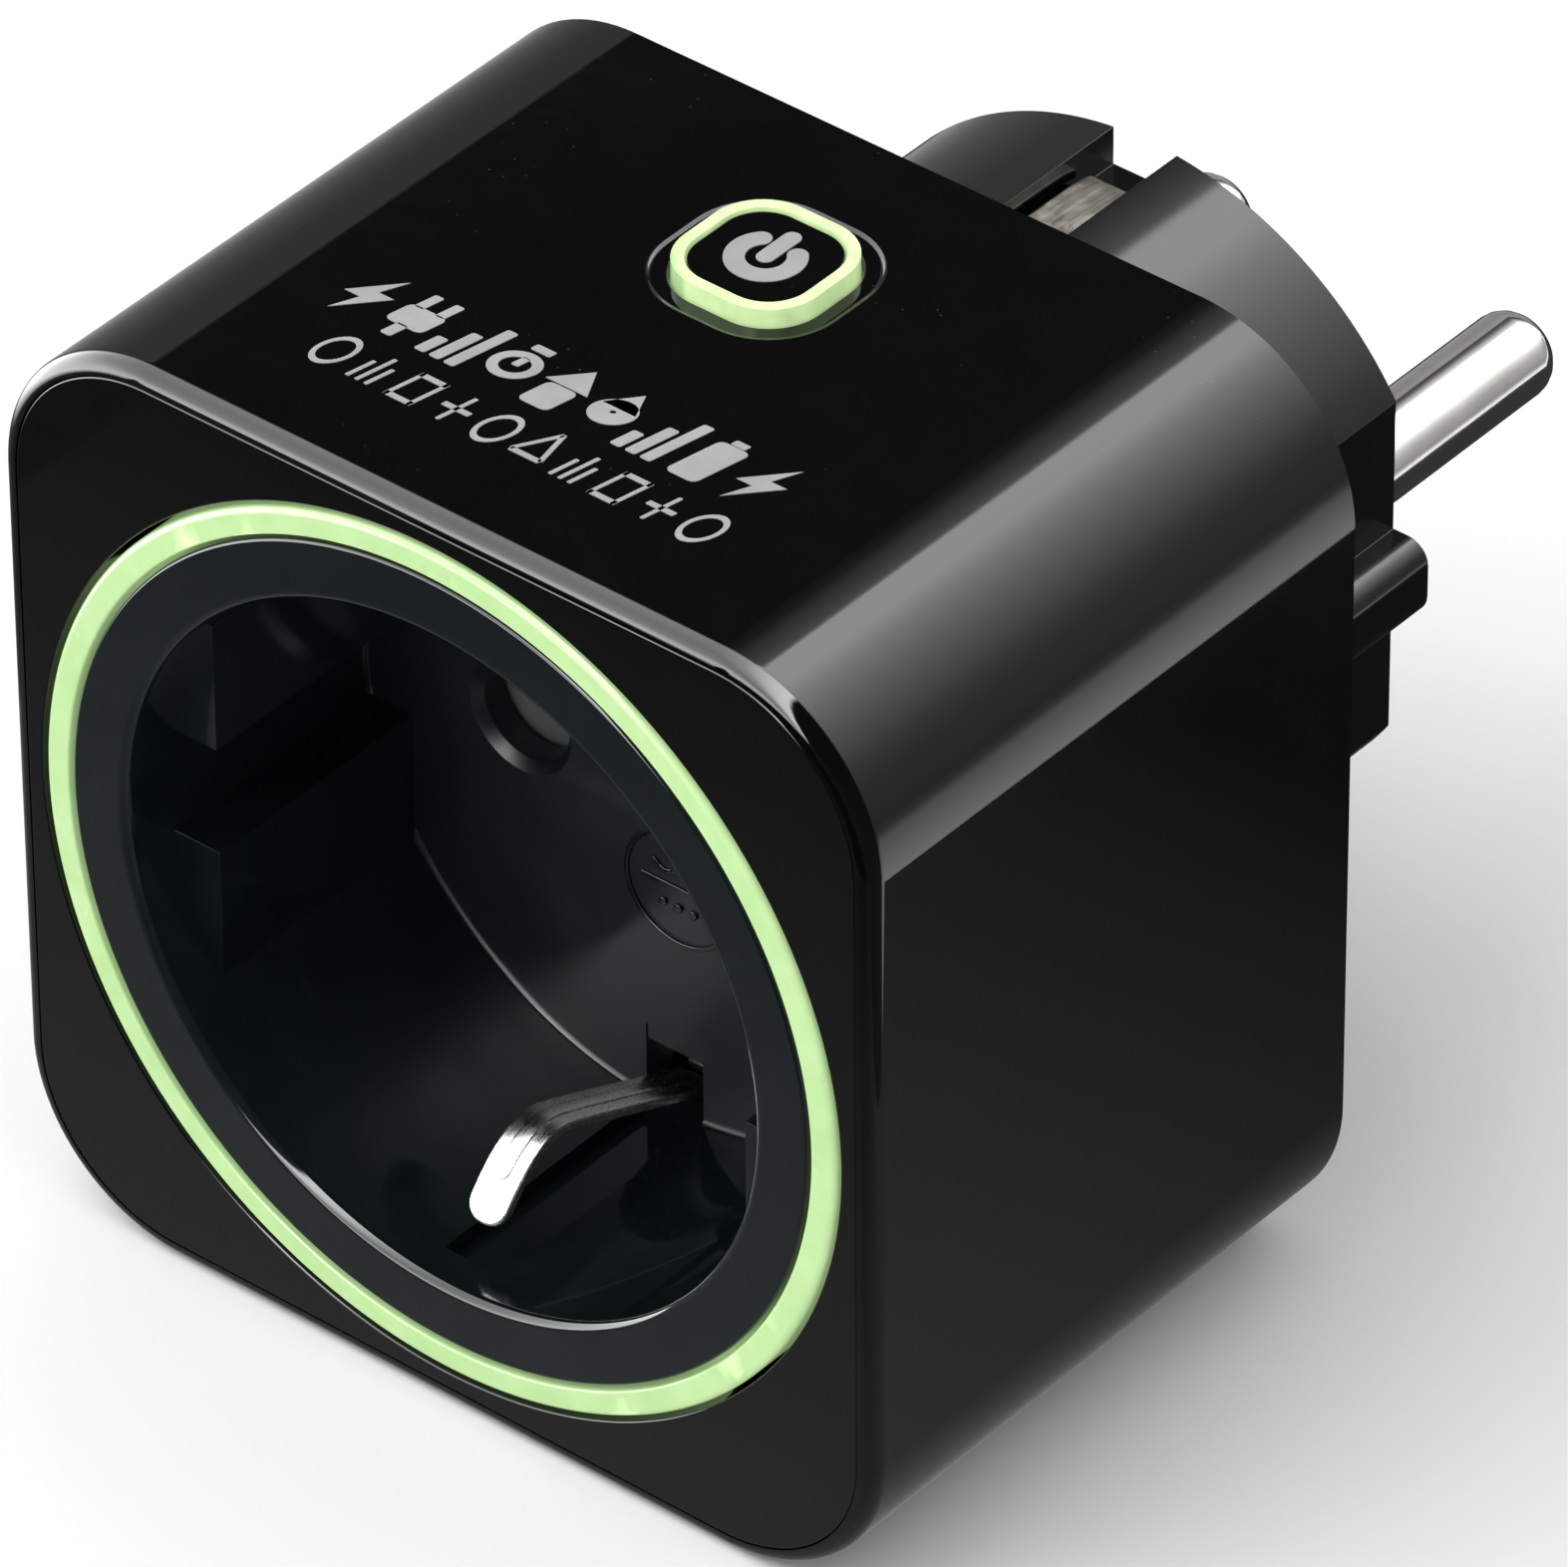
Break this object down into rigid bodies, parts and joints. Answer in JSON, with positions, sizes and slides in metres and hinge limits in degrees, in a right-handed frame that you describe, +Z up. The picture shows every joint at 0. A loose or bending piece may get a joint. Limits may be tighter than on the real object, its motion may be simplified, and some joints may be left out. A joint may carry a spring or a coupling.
{
  "type": "plug-in smart electric meter",
  "caption": "Square black plug-in energy meter with a round earthed socket in front, an earthed plug behind, a light ring and a push button.",
  "frame": {"origin": "centre of the plug's flat end face, midway between the two pins", "axes": "+Y along the plug's pins, away from the socket; +Z up, towards the push button; +X to the right when looking at the socket"},
  "size_m": [0.0536, 0.073, 0.0544],
  "materials": {
    "shell_black": "piano-black gloss",
    "plug_black": "satin black",
    "socket_black": "satin black",
    "ring_green": "translucent green light pipe",
    "board_green": "solder mask",
    "led_white": "clear resin",
    "cable_grey": "plain",
    "inner_grey": "plain moulded",
    "spring_steel": "drawn wire",
    "screw_steel": "zinc plated",
    "contact_brass": "stamped",
    "clip_nickel": "bright nickel plate",
    "strip_bronze": "dull bronze",
    "pin_nickel": "bright nickel plate",
    "wire_brown": "insulation",
    "wire_blue": "insulation",
    "relay_blue": "moulded case",
    "shunt_alloy": "resistance alloy strip",
    "film_yellow": "moulded box",
    "can_sleeve": "shrunk sleeve",
    "varistor_blue": "dipped resin",
    "resistor_beige": "ceramic coat",
    "chip_black": "moulded epoxy",
    "module_blue": "solder mask",
    "shield_tin": "tin plate",
    "antenna_gold": "gold plate",
    "mark_grey": "printed light grey",
    "plunger_white": "moulded"
  },
  "bodies": {
    "meter": {"main_shell": "shell_black", "front_cover": "shell_black", "rear_cover": "plug_black", "socket_insert": "socket_black", "light_ring": "ring_green", "ring_board": "board_green", "ring_leds": "led_white", "ring_flat_cable": "cable_grey", "shutter_spring": "spring_steel", "shutter_retainer": "socket_black", "retainer_screw": "screw_steel", "line_contact": "contact_brass", "neutral_contact": "contact_brass", "earth_rail_top": "strip_bronze", "earth_rail_bottom": "strip_bronze", "earth_bridge": "strip_bronze", "line_pin": "pin_nickel", "neutral_pin": "pin_nickel", "line_wire": "wire_brown", "neutral_wire": "wire_blue", "main_board": "board_green", "board_screws": "screw_steel", "relay": "relay_blue", "current_shunt": "shunt_alloy", "film_capacitor": "film_yellow", "smoothing_capacitor": "can_sleeve", "varistor": "varistor_blue", "fuse_resistor": "resistor_beige", "metering_chip": "chip_black", "wireless_module": "module_blue", "module_shield": "shield_tin", "antenna": "antenna_gold", "button_light_ring": "ring_green", "button_board": "board_green", "button_leds": "led_white", "switch_body": "chip_black", "housing_screws": "screw_steel"},
    "shutter": {"shutter": "inner_grey"},
    "button": {"button_cap": "shell_black", "button_icon": "mark_grey"},
    "plunger": {"switch_plunger": "plunger_white"},
    "clip_top": {"earth_clip_top": "clip_nickel"},
    "clip_bottom": {"earth_clip_bottom": "clip_nickel"}
  },
  "joints": [
    {"name": "shutter_turn", "type": "hinge", "parent": "meter", "child": "shutter", "pos_m": [0, -0.0331, 0], "axis": [0, -1, 0], "range_deg": [0, 38], "stiffness_Nm_per_rad": 0.002},
    {"name": "button_press", "type": "slide", "parent": "meter", "child": "button", "axis": [0, 0, -1], "range_m": [0, 0.0005], "stiffness_N_per_m": 400},
    {"name": "plunger_press", "type": "slide", "parent": "meter", "child": "plunger", "axis": [0, 0, -1], "range_m": [0, 0.0005]},
    {"name": "clip_top_flex", "type": "hinge", "parent": "meter", "child": "clip_top", "pos_m": [0, -0.0349, 0.0186], "axis": [-1, 0, 0], "range_deg": [0, 7.5], "stiffness_Nm_per_rad": 0.3},
    {"name": "clip_bottom_flex", "type": "hinge", "parent": "meter", "child": "clip_bottom", "pos_m": [0, -0.0349, -0.0186], "axis": [1, 0, 0], "range_deg": [0, 7.5], "stiffness_Nm_per_rad": 0.3}
  ],
  "couplings": [
    {"joint": "plunger_press", "follows": "button_press", "ratio": 1}
  ]
}
